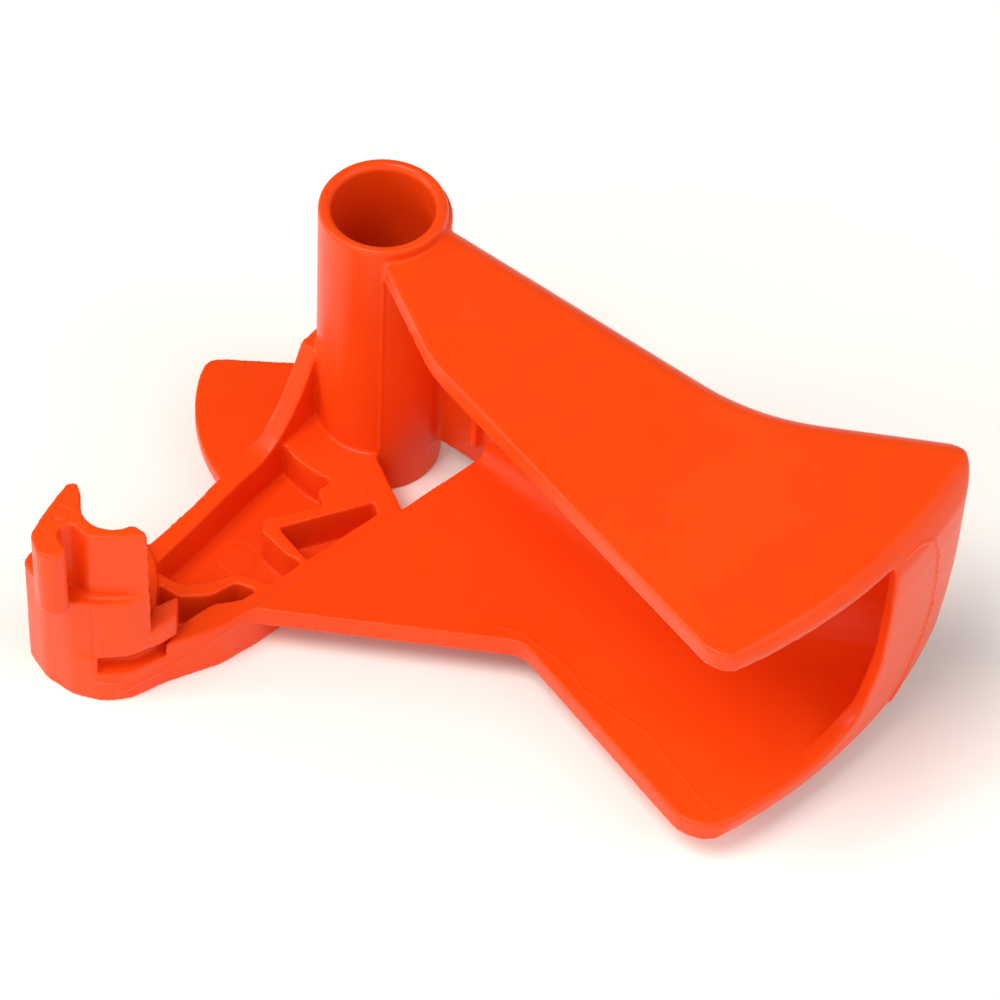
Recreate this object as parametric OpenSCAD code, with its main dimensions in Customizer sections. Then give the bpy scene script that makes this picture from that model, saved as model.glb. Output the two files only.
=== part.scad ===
// Throttle trigger lever for a hand-held blower, one orange moulding.
// Origin: centre of the pivot tube's foot. +Z runs up the tube, +X towards the grip's far end.
// The lever is written as its moulded members. Neighbours meet face to face and never overlap.

/* [Pivot tube] */
// Length of the pivot tube
tube_len = 30.6; // [28:0.2:34]
// Outside diameter of the tube at its foot
tube_d = 11; // [10.4:0.1:11.6]
// Outside diameter of the tube at its rim
tube_rim_d = 10.8; // [10.4:0.1:11.6]
// Diameter of the pivot bore
bore_d = 8.7; // [8:0.1:9]

/* [Grip] */
// Radius of the grip's end face about the pivot axis
reach = 53.2; // [52:0.2:55]
// Thickness of the moulded walls
wall = 2.1; // [1.7:0.1:2.4]
// Thickness of the end wall
end_t = 1.4; // [1.1:0.1:2]
// Drop from the tube's rim to the upper cheek's face
rim_step = 1.2; // [0.6:0.1:2]
// Height of the lower cheek's underside
lower_z = 3.3; // [2.8:0.1:3.6]
// Rounding of the finger pad along the upper cheek
pad_top_r = 2.4; // [1.2:0.2:3]
// Rounding of the finger pad along the lower cheek, at the far end
pad_low_r = 7; // [4:0.5:8]

/* [Arm] */
// Height of the arm's walls and of the platform round the tube
arm_h = 5; // [4.5:0.1:5.4]
// Thickness of the arm's floor
floor_t = 1.2; // [0.8:0.1:1.6]
// Radius of the platform round the tube
platform_r = 9.4; // [8.8:0.1:9.8]
// Height of the gusset where it meets the tube
gusset_top = 13; // [11:0.2:18]
// Radius of the stop fin
fin_r = 16; // [14.5:0.1:17]
// Thickness of the stop fin
fin_t = 1.5; // [1:0.1:2]

/* [Cable clip] */
// Height of the clip block's ledge
ledge_z = 12.6; // [11:0.1:14]
// Height of the hook above the ledge
hook_h = 7.8; // [6:0.1:9]
// Radius of the seat for the cable's end
seat_r = 2.75; // [2.6:0.05:2.9]
// Height of the slot under the clip block
slot_h = 2; // [1.2:0.1:2.4]

/* [Hidden] */
$fn = 72;
big = 100;
shell_colour = [1, 0.33, 0.08];

top_z = tube_len - rim_step;
upper_under = top_z - wall;
lower_top = lower_z + wall;
tube_r = tube_d / 2;
rim_fillet = 0.35;
mouth_chamfer = 0.4;
flange_top = 3.4;
flange_low = pad_low_r + 0.6;

// ---- outlines -------------------------------------------------------------------------------
function unit(v) = v / norm(v);
function polar(r, a) = [r * cos(a), r * sin(a)];

// Points of the arc that rounds corner b, between a and c, to radius r
function corner(a, b, c, r, steps = 6) =
    r == 0 ? [b] :
    let (u = unit(a - b), v = unit(c - b), half = acos(u * v) / 2)
    let (m = b + unit(u + v) * r / sin(half), p = b + u * r / tan(half) - m, q = b + v * r / tan(half) - m)
    let (from = atan2(p.y, p.x), turn = (atan2(q.y, q.x) - from + 540) % 360 - 180)
    [for (i = [0:steps]) m + polar(r, from + turn * i / steps)];

// Outline from rows of [x, y, corner radius]
function rounded(rows, steps = 6) =
    let (n = len(rows), p = [for (w = rows) [w[0], w[1]]])
    [for (i = [0:n - 1]) each corner(p[(i + n - 1) % n], p[i], p[(i + 1) % n], rows[i][2], steps)];

// The finger pad's outer line in plan: straight, a long concave bend, straight
pad_root = [2.9, 2.2];
pad_bend = [31.3, -18.5];
pad_bend_r = 19;
pad_tip = [52, -20.75];
root_dir = unit(pad_bend - pad_root);
tip_dir = unit(pad_tip - pad_bend);
root_a = atan2(root_dir.y, root_dir.x);
bend_turn = atan2(tip_dir.y, tip_dir.x) - root_a;
bend_start = pad_bend - pad_bend_r * tan(bend_turn / 2) * root_dir;
bend_end = pad_bend + pad_bend_r * tan(bend_turn / 2) * tip_dir;
root_in = [root_dir.y, -root_dir.x];
tip_in = [tip_dir.y, -tip_dir.x];
bend_steps = 12;
bend_centre = bend_start - pad_bend_r * root_in;
// Point at distance u inside the first straight run, at distance s from its root
function root_at(s, u) = pad_root + s * root_dir + u * root_in;
// Points of the bend at distance u inside the pad's outer line
function pad_arc(u) = [for (k = [0:bend_steps])
    bend_centre + polar(pad_bend_r + u, root_a - 90 + bend_turn * k / bend_steps)];
// Plan from well outside the pad's outer line to distance u inside it
pad_clear = -3;
function pad_strip(u) = concat([pad_root + pad_clear * root_in], pad_arc(pad_clear),
    [pad_tip + pad_clear * tip_in, pad_tip + u * tip_in],
    [for (k = [bend_steps:-1:0]) pad_arc(u)[k]], [pad_root + u * root_in]);

// Plan of a cheek: the pad's line, the end face, then the front corners. The end face runs at radius r
// about the pivot at the tip, and at radius r + flare beside the pad.
corner_a = -22.3;
tip_a = -57.4;
arc_steps = 7;
corner_r = 3.2;
upper_front = [[4.85, -15.6, 12], [-0.6, -3.2, 0]];
lower_front = [[13.5, -25.4, 2.5], [-7.2, -23.6, 0.5], [-9.5, -23.4, 0]];
function cheek_plan(r, flare, tip_r, front) = rounded(concat(
    [[pad_root.x, pad_root.y, 0], [pad_bend.x, pad_bend.y, pad_bend_r]],
    [for (i = [0:arc_steps]) let (t = i / arc_steps)
        concat(polar(r + flare * (1 - t), corner_a + (tip_a - corner_a) * t),
            [i == 0 ? corner_r : i == arc_steps ? tip_r : 0])], front), 8);

// The straight edge where the lower cheek leaves the arm
joint_a = [-9.5, -23.4];
joint_b = [9.05, -5.6];
joint_dir = unit(joint_b - joint_a);
joint_side = [joint_dir.y, -joint_dir.x];
grip_side = [joint_a - 20 * joint_dir, joint_a + 60 * joint_dir,
    joint_a + 60 * joint_dir + 90 * joint_side, joint_a - 20 * joint_dir + 90 * joint_side];

// ---- the grip -------------------------------------------------------------------------------
// Section of the finger pad, as [distance inside the outer line, height]
root_low_r = 1.4;
inner_r = 1;
pad_crown = concat([[flange_top, top_z]],
    [for (k = [0:5]) [pad_top_r, top_z - pad_top_r] + polar(pad_top_r, 90 + 18 * k)]);
pad_eave = concat(
    [for (k = [0:4]) [wall + inner_r, upper_under - inner_r] + polar(inner_r, 180 - 22.5 * k)],
    [[flange_top, upper_under]]);
function pad_inside(low_r) = let (r = max(low_r - wall, 0.8))
    concat([[flange_low, lower_top]],
        [for (k = [0:6]) [wall + r, lower_top + r] + polar(r, 270 - 15 * k)], pad_eave);
function pad_section(low_r) =
    concat(pad_crown, [for (k = [0:6]) [low_r, lower_z + low_r] + polar(low_r, 180 + 15 * k)],
        [[flange_low, lower_z]], pad_inside(low_r));

// A section pushed along a straight run of the pad, from a point in plan, for a length
module pad_run(section, start, dir, length) {
    translate(concat(start, [0])) rotate(atan2(dir.y, dir.x)) rotate([90, 0, 90])
        linear_extrude(length) mirror([1, 0]) polygon(section);
}

// The same section turned through the pad's bend
module pad_turn(section) {
    translate(concat(bend_centre, [0])) rotate(root_a - 90) rotate_extrude(angle = bend_turn)
        polygon([for (p = section) [pad_bend_r + p.x, p.y]]);
}

module slab(z0, z1, plan) {
    translate([0, 0, z0]) linear_extrude(z1 - z0) polygon(plan);
}

module tube_core() {
    translate([0, 0, -1]) cylinder(r = tube_r, h = tube_len + 2);
}

// The end face is fullest above mid height and draws in towards both cheeks
drum_edge = [[reach - 0.9, lower_z - 1], [reach - 0.3, lower_z + 4.7], [reach + 0.2, lower_z + 9.5],
    [reach + 0.7, lower_z + 16], [reach + 0.9, upper_under - 3.5], [reach + 0.85, upper_under - 0.7],
    [reach + 0.25, top_z - 1], [reach - 1.1, top_z + 1]];
module end_drum() {
    rotate_extrude() polygon(concat([[0, -1]], drum_edge, [[0, tube_len + 1]]));
}

module upper_cheek() {
    color(shell_colour) difference() {
        intersection() {
            slab(upper_under, top_z, cheek_plan(reach, 0.9, 2.6, upper_front));
            end_drum();
        }
        slab(0, big, pad_strip(flange_top));
        root_swell(1);
        tube_core();
    }
}

module lower_cheek() {
    color(shell_colour) difference() {
        intersection() {
            slab(lower_z, lower_top, cheek_plan(reach - 0.6, 0, 3.6, lower_front));
            slab(0, big, grip_side);
            end_drum();
        }
        slab(0, big, pad_strip(flange_low));
    }
}

// Straight start of the finger pad, where its lower rounding grows
module pad_neck() {
    neck_from = 4;
    ring_n = len(pad_section(pad_low_r));
    last = ring_n - 1;
    half = (ring_n - 1) / 2;
    length = norm(bend_start - pad_root);
    function ring(s, low_r) = [for (p = pad_section(low_r)) concat(root_at(s, p.x), [p.y])];
    sides = [for (k = [0:last]) let (m = (k + 1) % ring_n) [k, m, m + ring_n, k + ring_n]];
    // The section is a bent strip, so each end is a row of quads across it
    start = concat([for (i = [0:half - 2]) [last - i, last - i - 1, i + 1, i]],
        [[half + 1, half, half - 1]]);
    end = [for (f = start) [for (k = [len(f) - 1:-1:0]) f[k] + ring_n]];
    color(shell_colour) intersection() {
        polyhedron(concat(ring(neck_from, root_low_r), ring(length, pad_low_r)),
            concat(sides, start, end), convexity = 8);
        slab(0, big, grip_side);
    }
}

module pad_curve() {
    color(shell_colour) pad_turn(pad_section(pad_low_r));
}

// Plan that rounds the upright corner between the pad and the end face
function corner_plan(r) =
    let (base = pad_bend + r * tip_in, off = base - (base * tip_dir) * tip_dir)
    let (centre = off + sqrt(pow(reach + 0.8 - r, 2) - off * off) * tip_dir)
    let (from = atan2(tip_dir.y, tip_dir.x) + 84, to = corner_a + 6)
    concat([centre + polar(r, from) + polar(60, from + 90)],
        [for (k = [0:6]) centre + polar(r, from + (to - from) * k / 6)],
        [centre + polar(r, to) + polar(60, to - 90)]);

module finger_pad() {
    color(shell_colour) intersection() {
        pad_run(pad_section(pad_low_r), bend_end, tip_dir, 20);
        slab(0, big, corner_plan(corner_r));
        end_drum();
    }
}

// Upright panel between the tube and the lower cheek
module web_panel() {
    section = concat(pad_crown,
        [for (k = [0:3]) [root_low_r, lower_z + root_low_r] + polar(root_low_r, 180 + 30 * k)],
        [[wall, lower_z]], pad_eave);
    color(shell_colour) difference() {
        pad_run(section, pad_root, root_dir, 14);
        slab(0, big, grip_side);
        root_swell(1);
    }
}

// Small upright rib at the start of the hollow
module web_post() {
    from = 8.2;
    width = 0.9;
    depth = 0.7;
    corners = [[from, 0], [from + width, 0], [from + width, depth], [from, depth]];
    color(shell_colour) slab(lower_top + 0.8, upper_under - inner_r,
        [for (q = corners) root_at(q.x, wall + q.y)]);
}

// Opening in the end wall: its edge climbs from the lower cheek and then runs up beside the pad
opening_dir = -70;
module end_opening() {
    edge = [[10, lower_z, 0], [22.6, lower_top, 0], [27.4, lower_top + 1.4, 4], [28.8, 14, 12],
        [28.4, tube_len, 0], [10, tube_len, 0]];
    rotate([0, 0, opening_dir]) translate([30, 0, 0]) rotate([90, 0, 90])
        linear_extrude(30) polygon(rounded(edge, 8));
}

wall_from = -50.6;
// The end wall follows the end face at one thickness
wall_skin = concat([[reach - 0.9 - end_t, lower_top]], [for (i = [1:5]) drum_edge[i] - [end_t, 0]],
    [[reach + 0.8 - end_t, upper_under], [reach + 2, upper_under], [reach + 2, lower_top]]);
module end_wall() {
    color(shell_colour) difference() {
        intersection() {
            rotate([0, 0, wall_from]) rotate_extrude(angle = 30) polygon(wall_skin);
            slab(0, big, corner_plan(corner_r));
            pad_run(concat(pad_inside(pad_low_r), [[30, upper_under], [30, lower_top]]), bend_end,
                tip_dir, 24);
            end_drum();
        }
        end_opening();
    }
}

// ---- the pivot tube --------------------------------------------------------------------------
module pivot_tube() {
    color(shell_colour) rotate_extrude() polygon(concat(
        [[bore_d / 2, 0], [tube_r, 0]],
        [for (a = [0:22.5:90]) [tube_rim_d / 2 - rim_fillet, tube_len - rim_fillet] + polar(rim_fillet, a)],
        [[bore_d / 2 + mouth_chamfer, tube_len], [bore_d / 2, tube_len - mouth_chamfer]]));
}

// The tube's wall is a little fuller on the side that carries the grip
module root_swell(over = 0) {
    swell = 0.4;
    translate([swell * cos(45), swell * sin(45), lower_z - over])
        cylinder(r = tube_r, h = top_z - lower_z + 2 * over);
}

module tube_root() {
    color(shell_colour) difference() {
        root_swell();
        tube_core();
    }
}

// ---- the arm ----------------------------------------------------------------------------------
// Outer line of the arm, from the tube round the clip end and back along the joint edge
outer_tangent = [-4.5, 3.1];
arm_back = [[-13.5, -9.6], [-15.4, -12.6], [-18.4, -16.6]];
clip_back = [[-22.5, -19.6], [-27.6, -24.0]];
clip_front = [[-28.0, -25.2, 0.8], [-26.3, -27.7, 3], [-23.9, -29.3, 3], [-21.4, -29.9, 4],
    [-19.0, -29.4, 4], [-16.4, -27.6, 3], [-11.8, -25.3, 4], [-10.3, -24.0, 1], [joint_a.x, joint_a.y, 0]];
platform_edge = [2.7, -11.7];
arm_plan = rounded(concat([[outer_tangent.x, outer_tangent.y, 0]], [for (p = arm_back) concat(p, [2])],
    [for (p = clip_back) concat(p, [1])], clip_front,
    [[platform_edge.x, platform_edge.y, 0], [-0.1, -5.3, 0], [0, 0, 0]]), 5);

// Main pocket: along the outer wall, round the platform, the corner rib and the wave rib
pocket_main = rounded(concat(
    [for (a = [212:6:248]) concat(polar(platform_r, a), [0])],
    [[-4.7, -9.9, 0.6], [-4.0, -11.5, 0.5], [-8.9, -13.2, 0.8], [-9.2, -14.6, 0.5], [-5.8, -18.2, 0.3],
     [-8.0, -20.3, 0.5], [-9.5, -19.6, 1.2], [-11.0, -19.4, 1], [-13.0, -20.4, 3], [-15.6, -20.9, 2],
     [-17.9, -19.5, 0.4], [-17.4, -18.3, 0.3], [-15.3, -15.4, 2], [-11.4, -9.6, 0], [-9.3, -6.8, 0]]), 4);
// Triangular pocket inside the corner rib
pocket_corner = rounded([[-7.7, -14.2, 0.2], [0.2, -10.9, 0.4], [0.6, -12.1, 0.4], [-5.1, -17.5, 0.2]], 3);
// Pocket between the wave rib and the front rim
pocket_front = rounded([[-17.4, -21.0, 0.3], [-15.5, -22.4, 1], [-12.8, -21.8, 2], [-10.9, -20.4, 0.4],
    [-9.0, -21.1, 0.2], [-10.4, -22.2, 1], [-12.7, -22.8, 1], [-15.4, -25.4, 0.3], [-17.4, -25.4, 0.3]], 4);

module arm_section() {
    difference() {
        polygon(arm_plan);
        polygon(pocket_main);
        polygon(pocket_corner);
        polygon(pocket_front);
        circle(r = tube_r);
    }
}

// The part of the arm's walls that lies inside a plan
module arm_wall(plan) {
    color(shell_colour) translate([0, 0, floor_t]) linear_extrude(arm_h - floor_t) intersection() {
        arm_section();
        polygon(plan);
    }
}

// Cut lines between neighbouring walls
cut_tube = [[-7.98, -4.98], [-12.0, -2.4]];
cut_clip = [[-17.75, -19.0], [-19.4, -15.4]];
cut_rib = [-4.35, -11.4];
cut_corner = [-5.45, -17.85];
cut_wave = [-8.5, -20.7];
cut_front = [-9.0, -21.1];
cut_block = [[-15.4, -25.4], [-17.4, -30.4]];

module arm_floor() {
    color(shell_colour) linear_extrude(floor_t) difference() {
        polygon(arm_plan);
        circle(r = tube_r);
    }
}

module tube_platform() {
    arm_wall([cut_tube[1], cut_tube[0], [-7.5, -9], [-6, -11.2], cut_rib, [0.2, -10.9], [0.6, -12.1],
        [2.9, -12.3], [4, -11], [3, 4], [-6, 5]]);
}

module outer_wall() {
    arm_wall([cut_tube[1], cut_tube[0], [-9.9, -8.2], [-16.6, -18.6], cut_clip[0], cut_clip[1]]);
}

module corner_rib() {
    arm_wall([cut_rib, [0.2, -10.9], [-7.7, -14.2], [-5.1, -17.5], cut_corner, [-8.5, -16.2], [-10.2, -14],
        [-8.6, -12], [-6, -11.2]]);
}

module joint_rib() {
    arm_wall([[0.6, -12.1], [2.9, -12.3], [joint_a.x + 0.4, joint_a.y - 0.4], joint_a, cut_front, cut_wave,
        cut_corner, [-5.1, -17.5]]);
}

module wave_rib() {
    arm_wall([cut_wave, [-8.0, -19.2], [-15.0, -18.9], [-17.6, -19.2], [-17.4, -21.0], [-15.6, -22.2],
        [-12.4, -21.9], cut_front]);
}

module front_rim() {
    arm_wall([cut_front, [-12.0, -21.9], [-14.6, -23.8], cut_block[0], cut_block[1], [-9, -26], joint_a]);
}

// Rib that braces the tube from the outer wall: level at the top, then falling in a hollow curve
gusset_dir = unit([-13.5, -9.6] - outer_tangent);
gusset_t = 1.8;
gusset_len = 12.4;
gusset_level = 4;
module gusset() {
    steps = 8;
    edge = [for (i = [0:steps]) let (t = i / steps)
        [gusset_level + (gusset_len - gusset_level) * t, arm_h + (gusset_top - arm_h) * pow(1 - t, 2.2)]];
    color(shell_colour) difference() {
        translate(concat(outer_tangent, [0])) rotate(atan2(gusset_dir.y, gusset_dir.x))
            rotate([90, 0, 0]) translate([0, 0, -gusset_t])
            linear_extrude(gusset_t) polygon(concat([[0, arm_h], [0, gusset_top]], edge));
        tube_core();
    }
}

// Sector plate level with the arm's walls
fin_from = 164.2;
fin_to = 215;
module stop_fin() {
    steps = 12;
    arc_from = fin_from + 9;
    sector = concat([concat(polar(fin_r, fin_from), [1.5])],
        [for (i = [0:steps]) concat(polar(fin_r, arc_from + (fin_to - arc_from) * i / steps), [0])],
        [[-12.6, -8.6, 0], [outer_tangent.x, outer_tangent.y, 0], [-4.4, 4.4, 0]]);
    color(shell_colour) translate([0, 0, arm_h - fin_t]) linear_extrude(fin_t) difference() {
        polygon(rounded(sector, 5));
        polygon(arm_plan);
        circle(r = tube_r);
    }
}

// ---- the cable clip ---------------------------------------------------------------------------
clip_right = -17.4;
slot_z = arm_h + 0.5 - slot_h;
slot_left = -21.7;
slot_depth = 1.5;
block_plan = rounded([[-28.0, -25.2, 0.8], [-26.3, -27.7, 3], [-23.9, -29.3, 3], [-21.4, -29.6, 4],
    [-19.0, -29.2, 3], [clip_right, -28.2, 0.3], [clip_right - 0.1, -27.3, 0.3], [-19, -24.6, 1],
    [-23.6, -22, 1.5], [-27.4, -24.1, 1]], 5);

// Lower course of the clip end, with the slot that undercuts the block
module clip_foot() {
    color(shell_colour) difference() {
        translate([0, 0, floor_t]) linear_extrude(slot_z + slot_h - floor_t) intersection() {
            polygon(arm_plan);
            polygon([cut_clip[1], cut_clip[0], [clip_right, -21.0], [clip_right, -25.4], cut_block[0],
                cut_block[1], [-30, -32], [-30, -14]]);
        }
        translate([0, 0, slot_z]) linear_extrude(big) difference() {
            polygon([[slot_left, -40], [-5, -40], [-5, -20], [slot_left, -20]]);
            polygon([[slot_left - 1, -29.9 + slot_depth], [-19, -29.3 + slot_depth],
                [clip_right, -28.2 + slot_depth], [-15.4, -26.4 + slot_depth], [-15.4, -20], [-17, -16],
                [slot_left - 1, -16]]);
        }
    }
}

module clip_block() {
    color(shell_colour) slab(slot_z + slot_h, ledge_z, block_plan);
}

// Small stepped tab beside the block
module step_tab() {
    tab_z = 8;
    back_rise = 0.8;
    color(shell_colour) intersection() {
        slab(slot_z + slot_h, big, [[clip_right, -28.2], [-16.6, -27.8], [-15.3, -26.6], [-15.3, -24.9],
            [clip_right, -26.1]]);
        translate([-20, -28.4, 0]) rotate([90, 0, 90]) linear_extrude(8)
            polygon([[0, 0], [4, 0], [4, tab_z + back_rise], [0, tab_z - 0.4]]);
    }
}

// Plan of the hook: the post, the thumb behind it and the curved wall with the seat
seat_c = [-20.3, -24.85];
hook_plan = rounded(concat(
    [[-24.3, -23.1, 0.5], [-23.5, -22.9, 0.3], [-23.05, -24.1, 0.3]],
    [for (a = [190:14:302]) concat(seat_c + polar(seat_r, a), [0])],
    [[-18.6, -26.9, 0.5], [-17.4, -27.8, 0.4], [-17.4, -28.1, 0.1], [-19.5, -28.5, 3], [-22.2, -28.6, 1],
     [-23.3, -27.2, 0.9], [-24.9, -27.8, 0.8], [-24.2, -29.2, 0.5], [-23.6, -29.9, 0.3],
     [-24.3, -30.9, 0.9], [-25.9, -30.6, 1.3], [-26.7, -28.6, 1.2], [-25.9, -26.4, 2]]), 5);
post_side = [[-24.6, -27.6], [-27.6, -26.4], [-28, -32], [-22.8, -32], [-22.8, -29.4], [-24.1, -28.4]];

module cable_hook() {
    color(shell_colour) translate([0, 0, ledge_z]) linear_extrude(hook_h) difference() {
        polygon(hook_plan);
        polygon(post_side);
    }
}

module hook_post() {
    color(shell_colour) translate([0, 0, ledge_z]) linear_extrude(hook_h) intersection() {
        polygon(hook_plan);
        polygon(post_side);
    }
}

pivot_tube();
tube_root();
upper_cheek();
lower_cheek();
pad_neck();
pad_curve();
finger_pad();
end_wall();
web_panel();
web_post();
tube_platform();
arm_floor();
outer_wall();
joint_rib();
corner_rib();
wave_rib();
front_rim();
gusset();
stop_fin();
clip_block();
clip_foot();
step_tab();
cable_hook();
hook_post();
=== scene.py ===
import math

import bmesh
import bpy
import numpy as np
from mathutils import Matrix, Vector


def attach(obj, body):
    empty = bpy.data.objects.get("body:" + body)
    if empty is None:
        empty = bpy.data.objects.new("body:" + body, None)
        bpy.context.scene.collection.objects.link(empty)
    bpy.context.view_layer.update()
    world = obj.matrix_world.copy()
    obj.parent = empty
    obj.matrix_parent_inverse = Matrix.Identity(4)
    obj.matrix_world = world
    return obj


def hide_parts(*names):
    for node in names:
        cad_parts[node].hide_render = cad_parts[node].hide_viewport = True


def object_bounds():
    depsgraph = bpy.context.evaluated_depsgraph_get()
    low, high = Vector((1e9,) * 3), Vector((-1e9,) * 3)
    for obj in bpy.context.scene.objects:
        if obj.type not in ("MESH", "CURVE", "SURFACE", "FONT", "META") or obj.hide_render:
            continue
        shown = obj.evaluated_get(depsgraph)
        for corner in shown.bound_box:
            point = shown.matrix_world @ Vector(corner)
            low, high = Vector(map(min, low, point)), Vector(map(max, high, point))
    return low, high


MM = 0.001
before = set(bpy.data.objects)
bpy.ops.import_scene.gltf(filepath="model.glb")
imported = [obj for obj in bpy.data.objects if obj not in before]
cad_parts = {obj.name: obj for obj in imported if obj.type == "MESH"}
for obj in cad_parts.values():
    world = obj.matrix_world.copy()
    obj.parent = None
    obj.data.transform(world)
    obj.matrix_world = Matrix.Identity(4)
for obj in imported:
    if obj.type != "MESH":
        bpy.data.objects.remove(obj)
cad_box = [list(v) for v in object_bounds()]
scene = bpy.context.scene


def note(text):
    print(text, flush=True)


# ---- camera, floor and light --------------------------------------------------------------
# The camera stands where the photo was taken from: its place in millimetres, the direction to its
# right and the direction behind it
CAMERA_LENS = 165.6
CAMERA_PLACE = (10.939, -258.403, 310.696)
CAMERA_RIGHT = (0.99857, 0.04146, 0.0337)
CAMERA_BACK = (0, -0.63074, 0.77599)
FLOOR_HALF = 3.0
FLOOR_Z = -0.02 * MM
FLOOR_COLOUR = (0.95, 0.945, 0.9, 1)
# The world is white, but for a dark gap round this direction
WORLD_STRENGTH = 0.8
GAP_DIRECTION = (0, 0.63, 0.776)
GAP_COLOUR = (0.12, 0.11, 0.11, 1)
GAP_STARTS = 0.55
GAP_FULL = 0.85
# Soft boxes: name, place in metres, diameter, power in watts, colour
LIGHTS = [
    ("key", (-0.3, -0.25, 0.9), 0.5, 5.8, (1, 0.985, 0.95)),
    ("left", (-0.8, -0.1, 0.35), 0.25, 1.5, (1, 0.97, 0.92)),
    ("fill", (0.6, -0.3, 0.6), 0.5, 1.0, (1, 1, 1)),
]
LIGHT_AIM = Vector((0.01, -0.015, 0))


def make_camera():
    data = bpy.data.cameras.new("camera")
    data.sensor_width = 36
    data.lens = CAMERA_LENS
    data.clip_start = 0.02
    data.clip_end = 20
    cam = bpy.data.objects.new("camera", data)
    scene.collection.objects.link(cam)
    back = Vector(CAMERA_BACK)
    up = back.cross(Vector(CAMERA_RIGHT)).normalized()
    right = up.cross(back).normalized()
    turn = Matrix((right, up, back)).transposed().to_4x4()
    cam.matrix_world = Matrix.Translation(Vector(CAMERA_PLACE) * MM) @ turn
    scene.camera = cam


def node(tree, kind, inputs=None, **settings):
    """A new shader node, with its inputs' values and its settings."""
    new = tree.nodes.new(kind)
    for key, value in settings.items():
        setattr(new, key, value)
    for key, value in (inputs or {}).items():
        new.inputs[key].default_value = value
    return new


def colour_ramp(tree, start, start_colour, end, end_colour):
    ramp = node(tree, "ShaderNodeValToRGB")
    first, last = ramp.color_ramp.elements
    first.position = start
    first.color = start_colour
    last.position = end
    last.color = end_colour
    return ramp


def make_floor():
    """A plain sheet just under the part's foot."""
    mesh = bpy.data.meshes.new("studio_floor")
    corners = [(-1, -1), (1, -1), (1, 1), (-1, 1)]
    mesh.from_pydata([(x * FLOOR_HALF, y * FLOOR_HALF, FLOOR_Z) for x, y in corners], [], [(0, 1, 2, 3)])
    floor = bpy.data.objects.new("studio_floor", mesh)
    scene.collection.objects.link(floor)
    mat = bpy.data.materials.new("studio_floor")
    mat.use_nodes = True
    shader = mat.node_tree.nodes["Principled BSDF"]
    shader.inputs["Base Color"].default_value = FLOOR_COLOUR
    shader.inputs["Roughness"].default_value = 0.9
    shader.inputs["Specular IOR Level"].default_value = 0.1
    mesh.materials.append(mat)


def area_light(name, place, size, power, colour):
    data = bpy.data.lights.new(name, "AREA")
    data.shape = "DISK"
    data.size = size
    data.energy = power
    data.color = colour
    light = bpy.data.objects.new(name, data)
    scene.collection.objects.link(light)
    light.location = place
    light.rotation_euler = (LIGHT_AIM - Vector(place)).to_track_quat("-Z", "Y").to_euler()


def make_light():
    """A white tent with a dark gap high at the back, and the soft boxes."""
    world = bpy.data.worlds.new("studio")
    scene.world = world
    world.use_nodes = True
    tree = world.node_tree
    background = tree.nodes["Background"]
    background.inputs["Strength"].default_value = WORLD_STRENGTH
    coords = node(tree, "ShaderNodeTexCoord")
    gap = node(tree, "ShaderNodeVectorMath", {1: GAP_DIRECTION}, operation="DOT_PRODUCT")
    ramp = colour_ramp(tree, GAP_STARTS, (1, 1, 1, 1), GAP_FULL, GAP_COLOUR)
    tree.links.new(coords.outputs["Generated"], gap.inputs[0])
    tree.links.new(gap.outputs["Value"], ramp.inputs[0])
    tree.links.new(ramp.outputs[0], background.inputs["Color"])
    for row in LIGHTS:
        area_light(*row)
    scene.view_settings.view_transform = "Standard"
    scene.view_settings.look = "None"
    scene.view_settings.exposure = 0
    scene.view_settings.gamma = 1


# ---- one smooth moulding from the CAD solids ------------------------------------------------
# All sizes from here to the pieces are in millimetres
VOXEL = 0.15
# Neighbouring solids grow by this much before they are joined, so that no seam stays between them
SEAM_OVERLAP = 0.02
NAMES = sorted(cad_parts)
# The remesh runs in a turned frame, so that no flat face or straight edge follows its grid
REMESH_TURN = Matrix.Rotation(0.61, 4, Vector((1, 2, 3)).normalized())
# The tube's rim keeps a crisper edge than the rest, and the grip's end face is smoothed much further
SMOOTH_FACTOR = 0.5
RIM_ROUNDS = 5
BODY_ROUNDS = 8
END_ROUNDS = 50
RIM_ABOVE = 29.6
RIM_RADIUS = 6
END_RADIUS = 51.3
END_BEYOND = 30
END_LOW = 3
END_HIGH = 30
# Share of the faces that stay when flat stretches are thinned out
KEEP_FACES = 0.35


def node_mesh(name, grow):
    """The CAD solid in millimetres, closed, grown a little along its normals."""
    bm = bmesh.new()
    bm.from_mesh(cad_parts[name].data)
    bmesh.ops.scale(bm, vec=Vector.Fill(3, 1 / MM), verts=bm.verts)
    bmesh.ops.remove_doubles(bm, verts=bm.verts, dist=0.001)
    bmesh.ops.recalc_face_normals(bm, faces=bm.faces)
    bm.normal_update()
    moves = [v.normal.copy() * grow for v in bm.verts]
    for v, move in zip(bm.verts, moves):
        v.co += move
    mesh = bpy.data.meshes.new(name + "_work")
    bm.to_mesh(mesh)
    bm.free()
    return mesh


def linked_object(name, mesh):
    linked = bpy.data.objects.new(name, mesh)
    scene.collection.objects.link(linked)
    return linked


def evaluated(thing):
    """The object's mesh with its modifiers applied."""
    graph = bpy.context.evaluated_depsgraph_get()
    return bpy.data.meshes.new_from_object(thing.evaluated_get(graph))


def drop(thing):
    """Deletes an object, and its mesh if nothing else uses it."""
    mesh = thing.data
    bpy.data.objects.remove(thing)
    if mesh.users == 0:
        bpy.data.meshes.remove(mesh)


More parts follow.
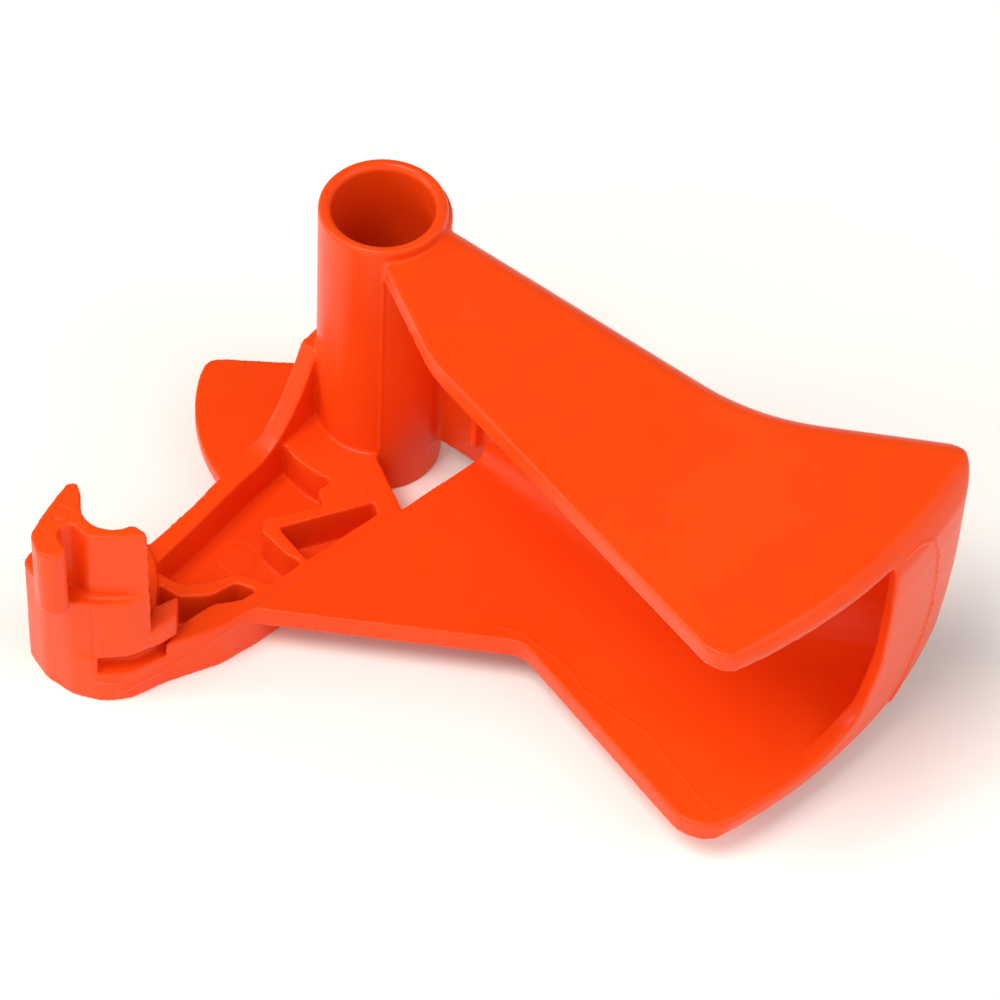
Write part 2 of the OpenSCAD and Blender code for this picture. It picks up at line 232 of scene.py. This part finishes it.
def remeshed(mesh, voxel):
    """The mesh on an even grid, as one closed skin."""
    thing = linked_object("remesh", mesh)
    remesh = thing.modifiers.new("remesh", "REMESH")
    remesh.mode = "VOXEL"
    remesh.voxel_size = voxel
    new = evaluated(thing)
    drop(thing)
    return new


def boolean(base, others, operation):
    """base combined with other objects, as a new mesh."""
    for other in others:
        step = base.modifiers.new("boolean", "BOOLEAN")
        step.operation = operation
        step.solver = "MANIFOLD"
        step.object = other
    mesh = evaluated(base)
    base.modifiers.clear()
    return mesh


def vector_array(rows, attribute):
    """One vector attribute of a mesh's rows, as an array with three columns."""
    values = np.empty(len(rows) * 3, np.float32)
    rows.foreach_get(attribute, values)
    return values.reshape(-1, 3)


def smooth(thing, chosen, rounds):
    """Smooths the chosen vertices of an object."""
    group = thing.vertex_groups.new(name="chosen")
    group.add(np.flatnonzero(chosen).tolist(), 1, "REPLACE")
    step = thing.modifiers.new("smooth", "SMOOTH")
    step.factor = SMOOTH_FACTOR
    step.iterations = rounds
    step.vertex_group = group.name
    thing.data = evaluated(thing)
    thing.modifiers.clear()
    thing.vertex_groups.clear()


def moulding():
    """All the solids joined, with their edges and inner corners rounded off."""
    parts = [linked_object(name + "_part", node_mesh(name, SEAM_OVERLAP)) for name in NAMES]
    whole = boolean(parts[0], parts[1:], "UNION")
    for part in parts:
        drop(part)
    whole.transform(REMESH_TURN)
    whole = remeshed(whole, VOXEL)
    whole.transform(REMESH_TURN.inverted())
    x, y, z = vector_array(whole.vertices, "co").T
    radius = np.hypot(x, y)
    rim = (z > RIM_ABOVE) & (radius < RIM_RADIUS)
    end_face = (radius > END_RADIUS) & (x > END_BEYOND) & (z > END_LOW) & (z < END_HIGH)
    thing = linked_object("moulding", whole)
    smooth(thing, rim, RIM_ROUNDS)
    smooth(thing, ~rim, BODY_ROUNDS)
    smooth(thing, end_face, END_ROUNDS)
    return thing


# ---- marks that the mould leaves --------------------------------------------------------------
CHEEK_UNDER = 27.3
LOWER_CHEEK_TOP = 5.4
ARM_TOP = 5
POCKET_FLOOR = 1.2
HOOK_TOP = 20.4
# Spacing of the points at which a mark is laid onto the surface
MARK_STEP = 0.4
# How far from its line a mark can still move the surface
MARK_REACH = 2.5


def level(z, plan):
    return [(x, y, z) for x, y in plan]


def ring(x, y, z, radius):
    return [(x + radius * math.cos(a), y + radius * math.sin(a), z) for a in np.linspace(0, 2 * math.pi, 25)]


# Each mark: the corners of its line, its height (below zero is a groove), and its half width
MARKS = [
    # Parting lines up the front of the pivot tube, and at its foot on the grip's side
    ([(0.4, -5.5, 5.5), (0.4, -5.5, 29.5)], 0.1, 0.12),
    ([(4.7, -2.8, 0.4), (4.7, -2.8, 3.2)], 0.06, 0.12),
    # Wavy witness line across the lower cheek
    (level(LOWER_CHEEK_TOP, [(11.5, -23.9), (13.2, -24.3), (17.1, -27.5), (18.8, -30), (24.3, -34.3),
                             (28.5, -40.5), (29.7, -41.7), (31.8, -40.8), (34.2, -38.2), (35.8, -37.1),
                             (36.6, -37.5)]), 0.07, 0.13),
    # Parting ridge up the grip's end face
    ([(43, -31.6, 27.5), (43.9, -30.6, 27.6), (44.8, -29.8, 27.2), (45.7, -29.1, 26.4), (46.3, -28.5, 24.5),
      (46.7, -26.7, 15.6), (46.3, -26.2, 10.8), (44.8, -26.9, 4.8), (43.8, -28, 3.6)], 0.16, 0.15),
    # Ejector ring in the main pocket, with a scratch beside it
    (ring(-11.3, -14.9, POCKET_FLOOR, 1.7), -0.07, 0.13),
    (level(POCKET_FLOOR, [(-12.6, -15.1), (-12, -14.3)]), 0.06, 0.12),
    # Ejector ring on the hook
    (ring(-24.4, -26.3, HOOK_TOP, 0.7), -0.1, 0.13),
    # Groove down the front of the clip, and flash up its right edge
    ([(-21.9, -29.6, 3.9), (-21.9, -29.6, 12.2)], -0.12, 0.15),
    ([(-17.4, -28.1, 6), (-17.4, -28.1, 20)], 0.16, 0.14),
    # Flash below the slot, on to the front wall
    ([(-21.7, -29.4, 2.8), (-20.1, -29.4, 2.5), (-20, -29.4, 1.2), (-18.3, -29.2, 1.8), (-16.2, -27.5, 1.8),
      (-13.3, -26, 3.5), (-9.6, -24, 4.6)], 0.12, 0.15),
    # Flash along the upper cheek's end edge
    (level(CHEEK_UNDER, [(34.5, -40.4), (41.1, -33.3)]), 0.18, 0.16),
    # Specks on the lower cheek and the platform, and a nub on the upper cheek's front edge
    (level(LOWER_CHEEK_TOP, [(18, -21.9), (18.2, -21.9)]), 0.08, 0.14),
    (level(ARM_TOP, [(-0.8, -9.6), (-0.6, -9.6)]), 0.08, 0.16),
    ([(3, -11.6, 28.2), (3.1, -11.7, 28.3)], 0.25, 0.22),
]


def along(points):
    """Points at even short steps along a polyline."""
    out = []
    for a, b in zip(points, points[1:]):
        a, b = np.array(a), np.array(b)
        count = max(1, math.ceil(np.linalg.norm(b - a) / MARK_STEP))
        out += [a + (b - a) * i / count for i in range(count)]
    return out + [np.array(points[-1])]


def add_mark(places, normals, points, height, width):
    """Raises or sinks the surface along a line, in a smooth narrow band."""
    line = np.array(along(points))
    inside = (places > line.min(0) - MARK_REACH) & (places < line.max(0) + MARK_REACH)
    near = np.flatnonzero(inside.all(axis=1))
    local = places[near]
    # The line is laid onto the vertices nearest to it
    line = np.array([local[np.argmin(((local - p) ** 2).sum(1))] for p in line])
    gap = np.full(len(near), MARK_REACH)
    for a, b in zip(line, line[1:]):
        run = b - a
        size = run @ run
        t = np.clip(((local - a) @ run) / size, 0, 1) if size > 0 else np.zeros(len(near))
        gap = np.minimum(gap, np.linalg.norm(local - a - t[:, None] * run, axis=1))
    places[near] += normals[near] * (height * np.exp(-((gap / width) ** 2)))[:, None]


def add_marks(mesh):
    places = vector_array(mesh.vertices, "co")
    normals = vector_array(mesh.vertex_normals, "vector")
    for points, height, width in MARKS:
        add_mark(places, normals, points, height, width)
    # Nothing stands out of the box that the solids fill
    low, high = np.array(cad_box) / MM
    mesh.vertices.foreach_set("co", np.clip(places, low, high).astype(np.float32).ravel())
    mesh.update()


def thinned(thing):
    step = thing.modifiers.new("thin", "DECIMATE")
    step.ratio = KEEP_FACES
    mesh = evaluated(thing)
    drop(thing)
    return mesh


# ---- the plastic ------------------------------------------------------------------------------
DARK_ORANGE = (0.83, 0.056, 0.003, 1)
LIGHT_ORANGE = (0.88, 0.068, 0.005, 1)
ROUGHNESS_LOW = 0.25
ROUGHNESS_HIGH = 0.38
SPECULAR = 0.2


def plastic(name):
    """Satin orange: faint cloudy changes of colour and gloss, and a fine grain."""
    material = bpy.data.materials.new(name)
    material.use_nodes = True
    tree = material.node_tree
    shader = tree.nodes["Principled BSDF"]
    shader.inputs["Specular IOR Level"].default_value = SPECULAR
    coords = node(tree, "ShaderNodeTexCoord")
    clouds = node(tree, "ShaderNodeTexNoise", {"Scale": 60, "Detail": 4, "Roughness": 0.6})
    grain = node(tree, "ShaderNodeTexNoise", {"Scale": 3500, "Detail": 3, "Roughness": 0.7})
    for noise in (clouds, grain):
        tree.links.new(coords.outputs["Object"], noise.inputs["Vector"])
    ramp = colour_ramp(tree, 0.3, DARK_ORANGE, 0.7, LIGHT_ORANGE)
    tree.links.new(clouds.outputs["Fac"], ramp.inputs[0])
    tree.links.new(ramp.outputs[0], shader.inputs["Base Color"])
    gloss = node(tree, "ShaderNodeMapRange", {"To Min": ROUGHNESS_LOW, "To Max": ROUGHNESS_HIGH})
    tree.links.new(clouds.outputs["Fac"], gloss.inputs["Value"])
    tree.links.new(gloss.outputs[0], shader.inputs["Roughness"])
    bump = node(tree, "ShaderNodeBump", {"Strength": 0.12, "Distance": 0.04 * MM})
    tree.links.new(grain.outputs["Fac"], bump.inputs["Height"])
    tree.links.new(bump.outputs[0], shader.inputs["Normal"])
    return material


# ---- separate closed pieces -------------------------------------------------------------------
# A cell is a node's solid, grown past the moulding's surface. The tube's root is a thin crescent, and
# its cell grows less.
CELL_GROW = 1.0
CELL_GROW_ROOT = 0.3
CELL_VOXEL = 0.5
SHARP = math.radians(50)
# Each piece takes what lies in its node's cell and is still left, in this order
ORDER = ["tube_root", "pivot_tube", "hook_post", "cable_hook", "step_tab", "clip_block", "gusset",
         "web_post", "upper_cheek", "web_panel", "pad_neck", "pad_curve", "finger_pad", "end_wall",
         "lower_cheek", "stop_fin", "corner_rib", "wave_rib", "tube_platform", "joint_rib",
         "front_rim", "outer_wall", "clip_foot", "arm_floor"]


def cell(name):
    """The node's solid, grown and remeshed, as the space that its piece may fill."""
    grow = CELL_GROW_ROOT if name == "tube_root" else CELL_GROW
    return linked_object(name + "_cell", remeshed(node_mesh(name, grow), CELL_VOXEL))


def finish_piece(mesh, name, material, nodes):
    """The mesh in metres as a piece that stands for the given nodes."""
    places = vector_array(mesh.vertices, "co") * MM
    mesh.vertices.foreach_set("co", places.ravel())
    mesh.materials.clear()
    mesh.materials.append(material)
    mesh.name = name
    for face in mesh.polygons:
        face.use_smooth = True
    mesh.set_sharp_from_angle(angle=SHARP)
    piece = linked_object(name, mesh)
    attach(piece, "root")
    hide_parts(*nodes)


def split_pieces(mesh, material):
    rest = linked_object("rest", mesh)
    for name in ORDER:
        space = cell(name)
        part = boolean(rest, [space], "INTERSECT")
        left = boolean(rest, [space], "DIFFERENCE")
        drop(space)
        drop(rest)
        rest = linked_object("rest", left)
        note(f"{name}: {len(part.polygons)} faces, left {len(left.polygons)}")
        finish_piece(part, "moulded_" + name, material, [name])
    drop(rest)


# ---- the scene ----------------------------------------------------------------------------------
body = moulding()
add_marks(body.data)
skin = thinned(body)
note(f"moulding: {len(skin.polygons)} faces")
satin = plastic("orange_satin")
split_pieces(skin, satin)
make_camera()
make_floor()
make_light()
